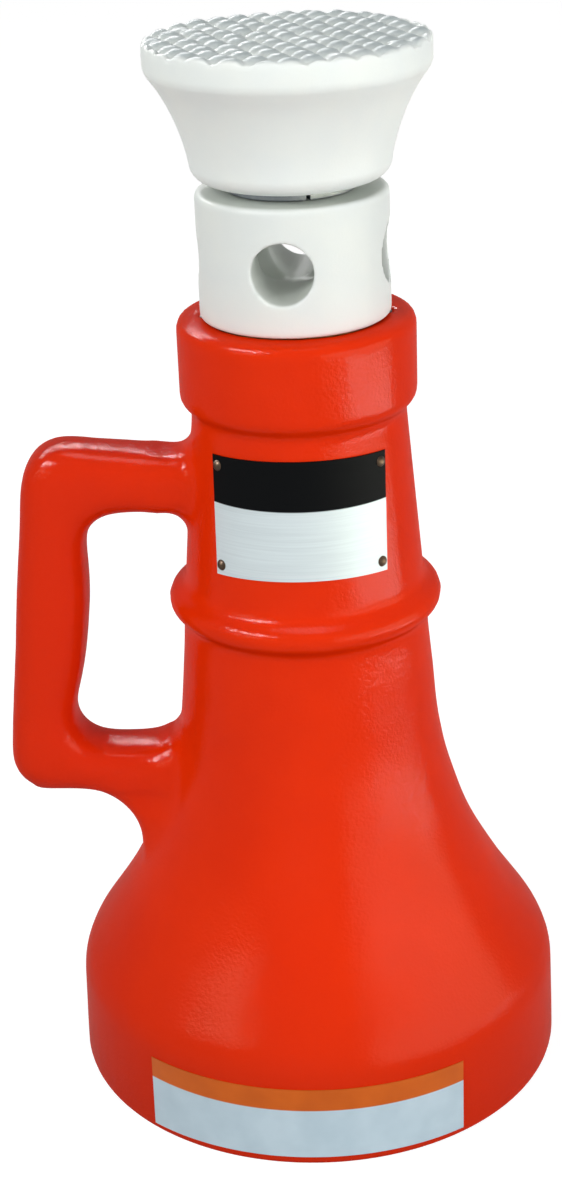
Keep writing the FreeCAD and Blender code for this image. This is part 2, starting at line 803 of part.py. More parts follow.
def rolled_panel(name, radius_at, thickness, angle, width, length, centre_height, turn_angle=ZERO):
    """Film or plate on a cone, trimmed square to the cone's front line, then turned about the axis."""
    low = centre_height - length
    high = centre_height + length
    gap = s.panel_gap
    skin = thickness + gap
    outside = frustum(f"{name}_outside", radius_at(low) + skin, radius_at(high) + skin, low, high)
    inside = frustum(f"{name}_inside", radius_at(low) + gap, radius_at(high) + gap, low, high)
    shell = cut(f"{name}_shell", outside, inside)
    frame = doc.addObject("Part::Box", f"{name}_frame")
    reach = radius_at(centre_height).number
    bind(frame, "Length", width)
    bind(frame, "Width", radius_at(centre_height))
    bind(frame, "Height", length)
    lean = FreeCAD.Rotation(FreeCAD.Vector(1, 0, 0), -angle.number)
    corner = lean.multVec(FreeCAD.Vector(-width.number / 2, -reach / 4, -length.number / 2))
    facing_front = FreeCAD.Placement(FreeCAD.Vector(0, -reach, centre_height.number) + corner, lean)
    turn = FreeCAD.Rotation(FreeCAD.Vector(0, 0, 1), turn_angle.number)
    frame.Placement = FreeCAD.Placement(FreeCAD.Vector(), turn).multiply(facing_front)
    panel = doc.addObject("Part::Common", name)
    panel.Base = shell
    panel.Tool = frame
    doc.recompute()
    return panel


def rivet_place(number):
    """Placement on the neck's surface at one corner of the plate, with +Z along the outward normal."""
    across, up = RIVET_SIDES[number]
    x = across * (s.plate_width.number / 2 - s.rivet_inset_across.number)
    along = up * (plate_length.number / 2 - s.rivet_inset_up.number)
    lean = math.radians(s.neck_taper_angle.number)
    front = neck_radius_at(plate_centre).number
    z = plate_centre.number + along
    for repeat in range(5):
        y = -math.sqrt(neck_radius_at(as_measure(z)).number ** 2 - x ** 2)
        z = plate_centre.number + (along - (y + front) * math.sin(lean)) / math.cos(lean)
    outward = FreeCAD.Vector(x, y, 0).normalize() * math.cos(lean) + FreeCAD.Vector(0, 0, math.sin(lean))
    return FreeCAD.Placement(FreeCAD.Vector(x, y, z), FreeCAD.Rotation(FreeCAD.Vector(0, 0, 1), outward))


def rivet_drill(name, number):
    """Cylinder along a rivet's axis, through the plate and as deep as the shank."""
    drill = doc.addObject("Part::Cylinder", name)
    bind(drill, "Radius", s.rivet_shank_radius + s.rivet_clearance)
    bind(drill, "Height", s.rivet_shank_length + s.panel_gap + s.plate_thickness + OVERSHOOT)
    place = rivet_place(number)
    depth = FreeCAD.Vector(0, 0, -s.rivet_shank_length.number)
    drill.Placement = place.multiply(FreeCAD.Placement(depth, FreeCAD.Rotation()))
    return drill


def make_rivet_hole(number):
    return rivet_drill(f"rivet_hole_{number + 1}", number)


def make_nameplate():
    panel = rolled_panel("plate_blank", neck_radius_at, s.plate_thickness, s.neck_taper_angle, s.plate_width,
                         plate_length, plate_centre)
    drills = [rivet_drill(f"plate_hole_{number + 1}", number) for number in range(len(RIVET_SIDES))]
    return cut("nameplate", panel, *drills)


def make_rivet(number):
    body = new_body(f"nameplate_rivet_{number + 1}")
    seat = s.panel_gap + s.plate_thickness + s.rivet_clearance
    foot = s.rivet_clearance - s.rivet_shank_length
    crown = (ZERO, seat + s.rivet_head_height)
    dome = (s.rivet_head_radius * s.rivet_head_radius + s.rivet_head_height * s.rivet_head_height) \
        / s.rivet_head_height / 2
    corners = [
        (ZERO, foot),
        (s.rivet_shank_radius, foot),
        (s.rivet_shank_radius, seat),
        (s.rivet_head_radius, seat),
        crown,
    ]
    revolve(body, f"rivet_{number + 1}", corners, {3: (dome, -1)})
    body.Placement = rivet_place(number)
    doc.recompute()
    return body


def make_decal():
    return rolled_panel("base_decal", base_radius_at, s.decal_thickness, s.base_draft_angle, s.decal_width,
                        s.decal_length, s.decal_bottom_height + s.decal_length / 2, s.decal_turn_angle)


pieces = {
    "housing": make_housing(),
    "lifting_nut": make_nut(),
    "lifting_screw": make_screw(),
    "load_cap": make_cap(),
    "cap_bush": make_bush(),
    "cap_thrust_washer": make_thrust_washer(),
    "cap_retaining_ring": make_retaining_ring(),
    "stop_washer": make_stop_washer(),
    "stop_lock_washer": make_stop_lock_washer(),
    "stop_bolt": make_stop_bolt(),
    "nameplate": make_nameplate(),
    "base_decal": make_decal(),
}
for lock_number in range(len(LOCK_SIDES)):
    pieces[f"nut_lock_screw_{lock_number + 1}"] = make_lock_screw(lock_number)
for rivet_number in range(len(RIVET_SIDES)):
    pieces[f"nameplate_rivet_{rivet_number + 1}"] = make_rivet(rivet_number)

doc.recompute()
for item in doc.Objects:
    if "Invalid" in item.State or "Error" in item.State:
        raise RuntimeError(f"{item.Name} failed: {item.State}")
os.makedirs("parts", exist_ok=True)
for label, piece in pieces.items():
    if piece.Shape.isNull() or not piece.Shape.isValid():
        raise RuntimeError(f"{label} has no valid shape")
    piece.Label = label
    piece.Shape.exportStep(f"parts/{label}.step")
    print(label, len(piece.Shape.Solids), "solid", round(piece.Shape.Volume, 1), "mm3")
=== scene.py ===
# %% [markdown]
# # A bell-base screw jack, dressed in Blender
# The jack is a hollow iron bell with a loop handle. A bronze nut sits in its collar, and a threaded screw
# with a cross-drilled head rises out of it when a bar turns the head. A flared cap with a rough top swivels
# on the screw. The solids come packed in one frame, in metres, with the floor at height 0 and the screw on
# the Z axis. This lesson leaves every solid where it is, gives each one a finish, and models anew the
# pieces whose real surface is finer than the solid: the painted casting, the cap with its rounded points,
# the split bush, the painted head and the thread.

# %% Load the frame
import math
import bmesh
import bpy
from mathutils import Matrix, Vector
from mathutils.noise import noise as noise_at, noise_vector, seed_set


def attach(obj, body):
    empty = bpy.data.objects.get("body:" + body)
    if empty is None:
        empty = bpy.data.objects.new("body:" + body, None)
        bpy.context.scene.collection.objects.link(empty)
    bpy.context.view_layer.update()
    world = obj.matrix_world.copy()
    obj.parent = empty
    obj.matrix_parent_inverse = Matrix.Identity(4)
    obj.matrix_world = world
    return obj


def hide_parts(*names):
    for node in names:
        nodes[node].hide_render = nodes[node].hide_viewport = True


MM = 0.001
PHOTO_WIDTH, PHOTO_HEIGHT = 562, 1180

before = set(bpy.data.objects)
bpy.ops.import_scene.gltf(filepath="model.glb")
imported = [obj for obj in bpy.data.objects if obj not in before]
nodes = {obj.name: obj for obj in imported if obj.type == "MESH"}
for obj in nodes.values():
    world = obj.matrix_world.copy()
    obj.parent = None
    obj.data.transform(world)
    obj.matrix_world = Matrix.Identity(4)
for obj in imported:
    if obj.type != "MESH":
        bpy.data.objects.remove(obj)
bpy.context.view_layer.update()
scene = bpy.context.scene
scene.view_settings.view_transform = "Standard"

# %% [markdown]
# ## The camera
# The photograph looks down on the jack from a little above the cap, with a long lens, and the jack leans a
# touch to the left in the picture. The camera's place and its three turns were fitted to the outline. The
# turns are applied in order: heading about the vertical, tilt down to the jack, and a small roll about the
# line of sight.

# %% Camera
FOCAL_PIXELS = 2224
SENSOR_MM = 36
CAMERA_PLACE = (16.1 * MM, -614.0 * MM, 424.75 * MM)
HEADING, TILT_DOWN, ROLL = math.radians(2.186), math.radians(23.76), math.radians(-2.23)

lens = bpy.data.cameras.new("photo_camera")
lens.sensor_width = SENSOR_MM
lens.lens = FOCAL_PIXELS * SENSOR_MM / max(PHOTO_WIDTH, PHOTO_HEIGHT)
lens.clip_start = 0.01
camera = bpy.data.objects.new("photo_camera", lens)
turns = Matrix.Rotation(HEADING, 4, "Z") @ Matrix.Rotation(math.pi / 2 - TILT_DOWN, 4, "X")
camera.matrix_world = Matrix.Translation(CAMERA_PLACE) @ turns @ Matrix.Rotation(ROLL, 4, "Z")
scene.collection.objects.link(camera)
scene.camera = camera
print("lens", round(lens.lens, 2), "mm")

# %% [markdown]
# ## Floor and light
# A product shot stands on white. The floor is a large pale disc, and a share of its white is added only for
# rays that come from the camera or from a reflection, so the background is white without more light on the
# jack, and the soft shadow under the bell stays. The world above the floor is made white in the same way.

# %% Floor
FLOOR_RADIUS = 6.0
FLOOR_DROP = 0.1 * MM
FLOOR_GLOW = 0.84
FLOOR_COLOUR = (0.38, 0.38, 0.38, 1)
ROUND_SEGMENTS = 96


def link_mesh(name, bm):
    """Turn a bmesh into an object of the scene, its place in its mesh."""
    mesh = bpy.data.meshes.new(name)
    bm.to_mesh(mesh)
    bm.free()
    piece = bpy.data.objects.new(name, mesh)
    scene.collection.objects.link(piece)
    return piece


def new_tree(name):
    """A new material, its node tree and its surface shader."""
    material = bpy.data.materials.new(name)
    material.use_nodes = True
    return material, material.node_tree, material.node_tree.nodes["Principled BSDF"]


def seen_directly(tree):
    """1 for rays from the camera, a reflection or a clear piece, and 0 for light that falls on the jack."""
    path = tree.nodes.new("ShaderNodeLightPath")
    seen = path.outputs["Is Camera Ray"]
    for ray in ("Is Glossy Ray", "Is Transmission Ray"):
        either = tree.nodes.new("ShaderNodeMath")
        either.operation = "MAXIMUM"
        tree.links.new(seen, either.inputs[0])
        tree.links.new(path.outputs[ray], either.inputs[1])
        seen = either.outputs[0]
    return seen


floor_bm = bmesh.new()
bmesh.ops.create_circle(floor_bm, cap_ends=True, radius=FLOOR_RADIUS, segments=ROUND_SEGMENTS,
                        matrix=Matrix.Translation((0, 0, -FLOOR_DROP)))
floor = link_mesh("floor", floor_bm)
paper, tree, surface = new_tree("white_paper")
surface.inputs["Base Color"].default_value = FLOOR_COLOUR
surface.inputs["Roughness"].default_value = 0.9
surface.inputs["Specular IOR Level"].default_value = 0.0
glow = tree.nodes.new("ShaderNodeMath")
glow.operation = "MULTIPLY"
glow.inputs[1].default_value = FLOOR_GLOW
tree.links.new(seen_directly(tree), glow.inputs[0])
surface.inputs["Emission Color"].default_value = (1, 1, 1, 1)
tree.links.new(glow.outputs[0], surface.inputs["Emission Strength"])
floor.data.materials.append(paper)
print("floor radius", FLOOR_RADIUS, "m")

# %% [markdown]
# The colour on the photographed jack is even from side to side, so panels and the world light it from all
# round. The highlights say where brighter things stood: a ray from the camera, mirrored at a highlight,
# points at its lamp. A strip high on the left draws the streaks on the bead, and a dim one below it the
# glow on the bell's shoulder. A card that stands on the right lays a pale sheen on the bell, and one flat
# on the floor another on the collar. A long strip behind on the left lights the upper edges of the handle,
# and a square overhead the rims. The glow and the two cards are tinted, because a white lamp would add blue
# to their sheens on the red. A lamp's ray visibility keeps the two jobs apart: panels are left out of
# reflections, and strips and cards are left out of the plain light.

# %% Lamps
WORLD_LEVEL = 0.37
LOOK_AT = (0, 0, 150 * MM)
WARM, CREAM = (1.0, 0.96, 0.66), (1.0, 1.0, 0.93)
LAMPS = {
    "left_key": {"place": (-0.95, -1.10, 1.20), "size": (0.6, 0.6), "watts": 9.5, "mirrored": False},
    "left_panel": {"place": (-1.25, -0.55, 0.80), "size": (1.0, 1.0), "watts": 4.0, "mirrored": False},
    "right_panel": {"place": (1.32, -0.86, 0.52), "size": (1.3, 0.6), "watts": 15.6, "mirrored": False},
    "front_fill": {"place": (-0.10, -0.90, 0.16), "size": (0.5, 0.25), "watts": 1.0, "mirrored": False},
    "left_strip": {"place": (-1.04, -0.73, 1.42), "size": (0.9, 0.16), "watts": 66.0, "spreading": False},
    "left_glow": {"place": (-1.15, -0.96, 0.80), "size": (0.80, 0.22), "watts": 5.7, "spreading": False,
                  "tint": WARM},
    "right_card": {"place": (0.527, -0.286, 0.21), "size": (0.86, 0.38), "watts": 5.7, "spreading": False,
                   "tint": WARM},
    "right_foot": {"place": (0.58, -0.21, 0.003), "size": (0.24, 0.62), "watts": 8.5, "spreading": False,
                   "aim": (0.58, -0.21, 1.0), "tint": CREAM},
    "back_strip": {"place": (-0.55, 1.02, 0.98), "size": (1.2, 0.12), "watts": 37.0, "spreading": False},
    "overhead": {"place": (0.0, 0.05, 1.35), "size": (0.5, 0.5), "watts": 9.9, "spreading": False},
}


def add_lamp(name, place, size, watts, mirrored=True, spreading=True, aim=LOOK_AT, tint=(1, 1, 1)):
    """A soft rectangular lamp that faces the jack, or another point.

    One that isn't mirrored leaves no highlight, and one that isn't spreading leaves nothing else.
    """
    lamp = bpy.data.lights.new(name, "AREA")
    lamp.shape = "RECTANGLE"
    lamp.size, lamp.size_y = size
    lamp.energy = watts
    lamp.color = tint
    holder = bpy.data.objects.new(name, lamp)
    holder.location = place
    holder.rotation_euler = (Vector(aim) - Vector(place)).to_track_quat("-Z", "Y").to_euler()
    holder.visible_glossy = mirrored
    holder.visible_diffuse = spreading
    holder.visible_camera = False
    scene.collection.objects.link(holder)


for lamp_name, lamp_facts in LAMPS.items():
    add_lamp(lamp_name, **lamp_facts)
world = bpy.data.worlds.new("studio")
world.use_nodes = True
backdrop = world.node_tree.nodes["Background"]
backdrop.inputs["Color"].default_value = (1, 1, 1, 1)
whiten = world.node_tree.nodes.new("ShaderNodeMath")
whiten.operation = "MULTIPLY_ADD"
whiten.inputs[1].default_value = 1 - WORLD_LEVEL
whiten.inputs[2].default_value = WORLD_LEVEL
world.node_tree.links.new(seen_directly(world.node_tree), whiten.inputs[0])
world.node_tree.links.new(whiten.outputs[0], backdrop.inputs["Strength"])
scene.world = world
print("lamps", sorted(LAMPS))

# %% [markdown]
# ## Finishes
# Each finish is a Principled shader whose colour, gloss and fine relief come from noise on Object
# coordinates. The pieces all sit at the origin, so a pattern keeps its scale in metres from one piece to
# the next. Short helpers add the nodes: a noise, the place of a point and its distance from the axis, a
# mapped range, a product, a colour mix and a bump.

# %% Node helpers


def noise(tree, grain_mm, detail=2.0, stretch=(1, 1, 1)):
    """Noise on Object coordinates with a grain of about this many millimetres."""
    place = tree.nodes.new("ShaderNodeTexCoord")
    mapping = tree.nodes.new("ShaderNodeMapping")
    mapping.inputs["Scale"].default_value = stretch
    texture = tree.nodes.new("ShaderNodeTexNoise")
    texture.inputs["Scale"].default_value = 1 / (grain_mm * MM)
    texture.inputs["Detail"].default_value = detail
    tree.links.new(place.outputs["Object"], mapping.inputs["Vector"])
    tree.links.new(mapping.outputs["Vector"], texture.inputs["Vector"])
    return texture.outputs["Fac"]


def object_place(tree):
    """The three Object coordinates of the shaded point, in metres."""
    place = tree.nodes.new("ShaderNodeTexCoord")
    split = tree.nodes.new("ShaderNodeSeparateXYZ")
    tree.links.new(place.outputs["Object"], split.inputs["Vector"])
    return split.outputs


def axis_distance(tree):
    """Distance of the shaded point from the screw's axis, in metres."""
    place = tree.nodes.new("ShaderNodeTexCoord")
    flat = tree.nodes.new("ShaderNodeVectorMath")
    flat.operation = "MULTIPLY"
    flat.inputs[1].default_value = (1, 1, 0)
    size = tree.nodes.new("ShaderNodeVectorMath")
    size.operation = "LENGTH"
    tree.links.new(place.outputs["Object"], flat.inputs[0])
    tree.links.new(flat.outputs["Vector"], size.inputs[0])
    return size.outputs["Value"]


def spread(tree, value, low, high, start=0.3, end=0.7):
    """Map a value between start and end onto the range from low to high."""
    node = tree.nodes.new("ShaderNodeMapRange")
    node.inputs["From Min"].default_value = start
    node.inputs["From Max"].default_value = end
    node.inputs["To Min"].default_value = low
    node.inputs["To Max"].default_value = high
    tree.links.new(value, node.inputs["Value"])
    return node.outputs["Result"]


def product(tree, first, second):
    """Product of two node outputs."""
    node = tree.nodes.new("ShaderNodeMath")
    node.operation = "MULTIPLY"
    tree.links.new(first, node.inputs[0])
    tree.links.new(second, node.inputs[1])
    return node.outputs[0]


def colour_mix(tree, share, first, second):
    """Mix two colours by a share. A colour is a triple of numbers or another node's output."""
    node = tree.nodes.new("ShaderNodeMix")
    node.data_type = "RGBA"
    factor = node.inputs[0]
    tree.links.new(share, factor)
    for socket, colour in ((node.inputs[6], first), (node.inputs[7], second)):
        if isinstance(colour, tuple):
            socket.default_value = (*colour, 1)
        else:
            tree.links.new(colour, socket)
    return node.outputs[2]


def relief(tree, height, depth_mm, strength=1.0, under=None):
    """Bump of about this depth, on top of another bump if one is given."""
    node = tree.nodes.new("ShaderNodeBump")
    node.inputs["Strength"].default_value = strength
    node.inputs["Distance"].default_value = depth_mm * MM
    tree.links.new(height, node.inputs["Height"])
    if under is not None:
        tree.links.new(under, node.inputs["Normal"])
    return node.outputs["Normal"]


def dress(slot_name, material, *names):
    """Give solids of the frame a finish. The slot name, for the record's slot that the finish stands for, is
    not used.
    """
    for name in names:
        nodes[name].data.materials.clear()
        nodes[name].data.materials.append(material)


# %% [markdown]
# ### Red enamel
# The casting is thick, glossy red-orange enamel over sand-cast iron. The paint fills the finest grain, so
# the surface has a slow waviness that bends the highlights, and a shallow orange-peel grain that breaks
# them up. A thin clear coat draws the streaks. A deeper tone is painted shade: low on the wall, near the
# floor, and on the handle.

# %% Red enamel
RED_LIT = (0.755, 0.029, 0.0015)
RED_DEEP = (0.710, 0.025, 0.0015)
# The two deeper reds below are painted shade: low on the wall, and on the handle.
RED_PAINTED_SHADE_LOW = (0.560, 0.020, 0.0015)
RED_HANDLE_PAINTED_SHADE = (0.670, 0.024, 0.0025)
LOW_SHADE_FULL, LOW_SHADE_CLEAR = 6 * MM, 62 * MM
HANDLE_SHADE_FULL, HANDLE_SHADE_CLEAR = -60 * MM, -38 * MM
HANDLE_SHADE_LOW, HANDLE_SHADE_HIGH = 86 * MM, 92 * MM

red_enamel, tree, surface = new_tree("red_enamel")
cloud = noise(tree, grain_mm=26.0, detail=3.0)
paint = colour_mix(tree, spread(tree, cloud, 0, 1), RED_DEEP, RED_LIT)
# Painted shade: the red turns darker low on the wall and on the handle.
low_painted_shade = spread(tree, object_place(tree)["Z"], 1, 0, LOW_SHADE_FULL, LOW_SHADE_CLEAR)
far_left = spread(tree, object_place(tree)["X"], 1, 0, HANDLE_SHADE_FULL, HANDLE_SHADE_CLEAR)
high_up = spread(tree, object_place(tree)["Z"], 0, 1, HANDLE_SHADE_LOW, HANDLE_SHADE_HIGH)
handle_painted_shade = colour_mix(tree, product(tree, far_left, high_up), paint, RED_HANDLE_PAINTED_SHADE)
tree.links.new(colour_mix(tree, low_painted_shade, handle_painted_shade, RED_PAINTED_SHADE_LOW), surface.inputs["Base Color"])
tree.links.new(spread(tree, noise(tree, grain_mm=7.0, detail=3.0), 0.32, 0.44), surface.inputs["Roughness"])
surface.inputs["Specular IOR Level"].default_value = 0.0
wave = relief(tree, noise(tree, grain_mm=11.0, detail=1.0), depth_mm=0.35, strength=0.5)
peel = relief(tree, noise(tree, grain_mm=1.0), depth_mm=0.14, strength=0.90, under=wave)
tree.links.new(peel, surface.inputs["Normal"])
surface.inputs["Coat Weight"].default_value = 0.11
surface.inputs["Coat Roughness"].default_value = 0.10
tree.links.new(peel, surface.inputs["Coat Normal"])
print("red enamel ready")

# %% [markdown]
# ### White enamel
# The screw's head and the cap are off-white, less glossy than the red, over a finer grain. A grey is
# painted shade: on the tops of the cap's points, and inside the holes for the bar. Each of the two has its
# own shaded place, so one function makes both, and takes a function that says where. The cap's white is
# painted a little lighter and the head's a little darker, as painted light.

# %% White enamel
WHITE_WARM = (0.808, 0.842, 0.800)
WHITE_COOL = (0.778, 0.820, 0.796)
# Both greys are painted shade: on the cap's top and in the bar holes.
POINTS_SHADE_GREY = (0.400, 0.455, 0.460)
HOLE_SHADE_GREY = (0.640, 0.675, 0.630)
POINTS_FROM, POINTS_FULL = 317.6 * MM, 319.6 * MM
FIELD_FULL, FIELD_CLEAR = 38.4 * MM, 39.6 * MM
HOLE_FROM, HOLE_FULL = 26.6 * MM, 25.0 * MM


def points_painted_shade(tree):
    """Painted shade on the cap's top: 1 on the tips of its points, and 0 between them and on the rim's side.
    """
    high = spread(tree, object_place(tree)["Z"], 0, 1, POINTS_FROM, POINTS_FULL)
    on_field = spread(tree, axis_distance(tree), 1, 0, FIELD_FULL, FIELD_CLEAR)
    return product(tree, high, on_field)


def holes_painted_shade(tree):
    """Painted shade in the bar holes: 1 inside the head, so in its holes, and 0 on its skin."""
    return spread(tree, axis_distance(tree), 0, 1, HOLE_FROM, HOLE_FULL)


def white_enamel(name, lift, gloss, shade_mask, grey):
    """Off-white paint, its brightness scaled as painted light, with a clear gloss, and a grey of painted
    shade where the mask says.
    """
    material, tree, surface = new_tree(name)
    cloud = noise(tree, grain_mm=14.0, detail=3.0)
    cool, warm = (tuple(lift * level for level in colour) for colour in (WHITE_COOL, WHITE_WARM))
    paint = colour_mix(tree, spread(tree, cloud, 0, 1), cool, warm)
    tree.links.new(colour_mix(tree, shade_mask(tree), paint, grey), surface.inputs["Base Color"])
    dullness = spread(tree, noise(tree, grain_mm=5.0, detail=3.0), 0.34, 0.46)
    tree.links.new(dullness, surface.inputs["Roughness"])
    wave = relief(tree, noise(tree, grain_mm=6.0, detail=1.0), depth_mm=0.15, strength=0.4)
    peel = relief(tree, noise(tree, grain_mm=0.8), depth_mm=0.06, strength=0.5, under=wave)
    tree.links.new(peel, surface.inputs["Normal"])
    surface.inputs["Specular IOR Level"].default_value = 0.05
    surface.inputs["Coat Weight"].default_value = gloss
    surface.inputs["Coat Roughness"].default_value = 0.22
    return material


# The cap's white is raised and the head's lowered, as painted light.
cap_white = white_enamel("cap_white_enamel", lift=1.09, gloss=0.010, shade_mask=points_painted_shade, grey=POINTS_SHADE_GREY)
head_white = white_enamel("head_white_enamel", lift=0.98, gloss=0.04, shade_mask=holes_painted_shade, grey=HOLE_SHADE_GREY)
print("white enamel ready")

# %% [markdown]
# ### Bare metals
# The bush, washers, bolt and ring are turned steel, the nut and thrust washer are bronze, and the rivets
# are darkened. The two lock screws of the nut are steel too, but oiled and dull, and the thread is darker
# in its roots, as painted shade. Turning leaves fine rings, so the grain is stretched round the axis by a
# noise that varies mostly with height.

# %% Bare metals
ROOT_PAINTED_SHADE = (0.045, 0.038, 0.030)
ROOT_SHADE_FULL, ROOT_SHADE_CLEAR = 15.0 * MM, 17.0 * MM
RINGED = (0.02, 0.02, 1)
GLOSS_SPREAD = 0.14


def turned_metal(name, light, dark, gloss, shade_roots=False):
    """Machined metal with fine rings round the Z axis, some tarnish, and painted shade near the axis for a
    thread's roots if asked.
    """
    material, tree, surface = new_tree(name)
    rings = noise(tree, grain_mm=0.35, detail=1.0, stretch=RINGED)
    tarnish = noise(tree, grain_mm=4.0, detail=4.0)
    metal = colour_mix(tree, spread(tree, tarnish, 0, 1), dark, light)
    # Painted shade: darker towards the thread's roots.
    if shade_roots:
        roots_painted_shade = spread(tree, axis_distance(tree), 1, 0, ROOT_SHADE_FULL, ROOT_SHADE_CLEAR)
        metal = colour_mix(tree, roots_painted_shade, metal, ROOT_PAINTED_SHADE)
    tree.links.new(metal, surface.inputs["Base Color"])
    tree.links.new(spread(tree, rings, gloss, gloss + GLOSS_SPREAD), surface.inputs["Roughness"])
    tree.links.new(relief(tree, rings, depth_mm=0.02, strength=0.35), surface.inputs["Normal"])
    surface.inputs["Metallic"].default_value = 1.0
    return material


bright_steel = turned_metal("bright_steel", (0.46, 0.46, 0.45), (0.33, 0.33, 0.325), 0.30)
bush_steel = turned_metal("bush_steel", (0.33, 0.355, 0.40), (0.25, 0.27, 0.305), 0.50)
thread_steel = turned_metal("thread_steel", (0.42, 0.415, 0.405), (0.30, 0.295, 0.285), 0.26, shade_roots=True)
oiled_steel = turned_metal("oiled_steel", (0.17, 0.16, 0.15), (0.10, 0.095, 0.09), 0.46)
bronze = turned_metal("bronze", (0.40, 0.24, 0.090), (0.28, 0.165, 0.060), 0.46)
dark_rivet = turned_metal("dark_rivet", (0.080, 0.054, 0.036), (0.034, 0.024, 0.019), 0.36)
dress("bright_steel", bright_steel, "cap_retaining_ring", "stop_washer", "stop_lock_washer", "stop_bolt")
dress("bright_steel", oiled_steel, "nut_lock_screw_1", "nut_lock_screw_2")
dress("bronze", bronze, "lifting_nut", "cap_thrust_washer")
dress("dark_rivet", dark_rivet, *[f"nameplate_rivet_{number}" for number in range(1, 5)])
print("bare metals ready")

# %% [markdown]
# ### Plate and film
# The plate is brushed aluminium under satin lacquer, so only a share of it shines as metal, with a plain
# black band over its upper part. The film on the base is a plain two-tone strip, orange over pale
# grey-blue. Both are split by height, so a narrow step in the Z coordinate makes each edge.

# %% Plate and film
BAND_EDGE = 192.6 * MM
FILM_EDGE = 19.3 * MM
EDGE_BLUR = 0.12 * MM
METAL_SHARE = 0.12
PLATE_DARK, PLATE_LIGHT = (0.540, 0.610, 0.632), (0.600, 0.675, 0.695)
BAND_BLACK = (0.004, 0.0045, 0.005)
PALE_DARK, PALE_LIGHT = (0.44, 0.56, 0.63), (0.50, 0.62, 0.69)
ORANGE_DARK, ORANGE_LIGHT = (0.52, 0.098, 0.009), (0.58, 0.115, 0.011)


def above(tree, height):
    """1 above a height and 0 below it, with a printed edge between."""
    return spread(tree, object_place(tree)["Z"], 0, 1, height - EDGE_BLUR, height + EDGE_BLUR)


plate_finish, tree, surface = new_tree("plate_aluminium")
brushing = noise(tree, grain_mm=0.5, stretch=RINGED)
metal = colour_mix(tree, spread(tree, brushing, 0, 1), PLATE_DARK, PLATE_LIGHT)
band = above(tree, BAND_EDGE)
tree.links.new(colour_mix(tree, band, metal, BAND_BLACK), surface.inputs["Base Color"])
tree.links.new(spread(tree, band, METAL_SHARE, 0, 0, 1), surface.inputs["Metallic"])
surface.inputs["Specular IOR Level"].default_value = 0.02
tree.links.new(spread(tree, brushing, 0.46, 0.54), surface.inputs["Roughness"])
tree.links.new(relief(tree, brushing, depth_mm=0.008, strength=0.3), surface.inputs["Normal"])
dress("plate_aluminium", plate_finish, "nameplate")

film_finish, tree, surface = new_tree("decal_film")
mottle = noise(tree, grain_mm=9.0)
pale = colour_mix(tree, spread(tree, mottle, 0, 1), PALE_DARK, PALE_LIGHT)
orange = colour_mix(tree, spread(tree, mottle, 0, 1), ORANGE_DARK, ORANGE_LIGHT)
tree.links.new(colour_mix(tree, above(tree, FILM_EDGE), pale, orange), surface.inputs["Base Color"])
tree.links.new(spread(tree, mottle, 0.34, 0.44), surface.inputs["Roughness"])
surface.inputs["Specular IOR Level"].default_value = 0.15
ripple = relief(tree, noise(tree, grain_mm=2.5, detail=1.0), depth_mm=0.02, strength=0.3)
tree.links.new(ripple, surface.inputs["Normal"])
dress("decal_film", film_finish, "base_decal")
print("plate and film dressed")

# %% [markdown]
# ## The casting
# A sand casting under thick paint has no crisp edge and no dead flat face. The solid is exact, so its copy
# is turned into one even skin by a voxel remesh, and the skin is smoothed: a little all over, and much more
# on the handle, whose bars are nearly oval. The corners of the bars roll over, and a slow waviness keeps
# the highlights from running dead straight. The base is drawn out below the floor before the remesh. The
# skin is cut at the floor after it, and rounded there by rings of new points, so that the ground edge is
# clean. The collar was turned after casting, so it keeps its edges. The inside is seldom seen, so its faces
# are thinned.

# %% Melted skin
CAST_VOXEL, CAST_MERGE = 1.2 * MM, 0.005 * MM
MELT_FACTOR = 0.5
CAST_MELT, HANDLE_MELT = 2, 60
HANDLE_START, HANDLE_FOOT = -43.5 * MM, 92 * MM
HANDLE_SWELL = 0.55 * MM
ARM_RISE, ARM_FOOT, ARM_ROOT = 2.5 * MM, 186 * MM, -34 * MM
ARM_FADE, ARM_SLOPE = 8 * MM, 50 * MM
BASE_EDGE, DRAWN_OUT = 1.3 * MM, -6 * MM
GROUND_ROUND, GROUND_REACH = 1.3 * MM, 70 * MM
RING_SHARES = (1, 0.5, 0.15, 0)
COLLAR_FOOT = 214 * MM
INSIDE_FACING, FACES_KEPT = -0.25, 0.62
WAVE_DEPTH, WAVE_LENGTH = 0.45 * MM, 17 * MM
FILM_CLEAR, BEAD_CLEAR, WAVE_FADE = 29 * MM, 152 * MM, 9 * MM


def settle(piece):
    """Put the result of a piece's modifiers into its mesh."""
    result = piece.evaluated_get(bpy.context.evaluated_depsgraph_get())
    shape = bpy.data.meshes.new_from_object(result)
    piece.modifiers.clear()
    piece.data = shape


def even_skin(piece, voxel):
    """Remesh a closed piece into small even faces."""
    skin = piece.modifiers.new("even_skin", "REMESH")
    skin.mode = "VOXEL"
    skin.voxel_size = voxel
    skin.use_smooth_shade = True
    settle(piece)


def melt(bm, verts, rounds):
    """Smooth these points a number of times."""
    for _ in range(rounds):
        bmesh.ops.smooth_vert(bm, verts=verts, factor=MELT_FACTOR,
                              use_axis_x=True, use_axis_y=True, use_axis_z=True)


def on_handle(place):
    """Whether a place on the casting belongs to its handle."""
    return place.x < HANDLE_START and place.z > HANDLE_FOOT


def wave_share(place):
    """Share of the casting's waviness at a place: none under the film and round the plate."""
    if on_handle(place):
        return 1.0
    over_film = (place.z - FILM_CLEAR) / WAVE_FADE
    under_bead = (BEAD_CLEAR - place.z) / WAVE_FADE
    return max(0.0, min(1.0, over_film, under_bead))


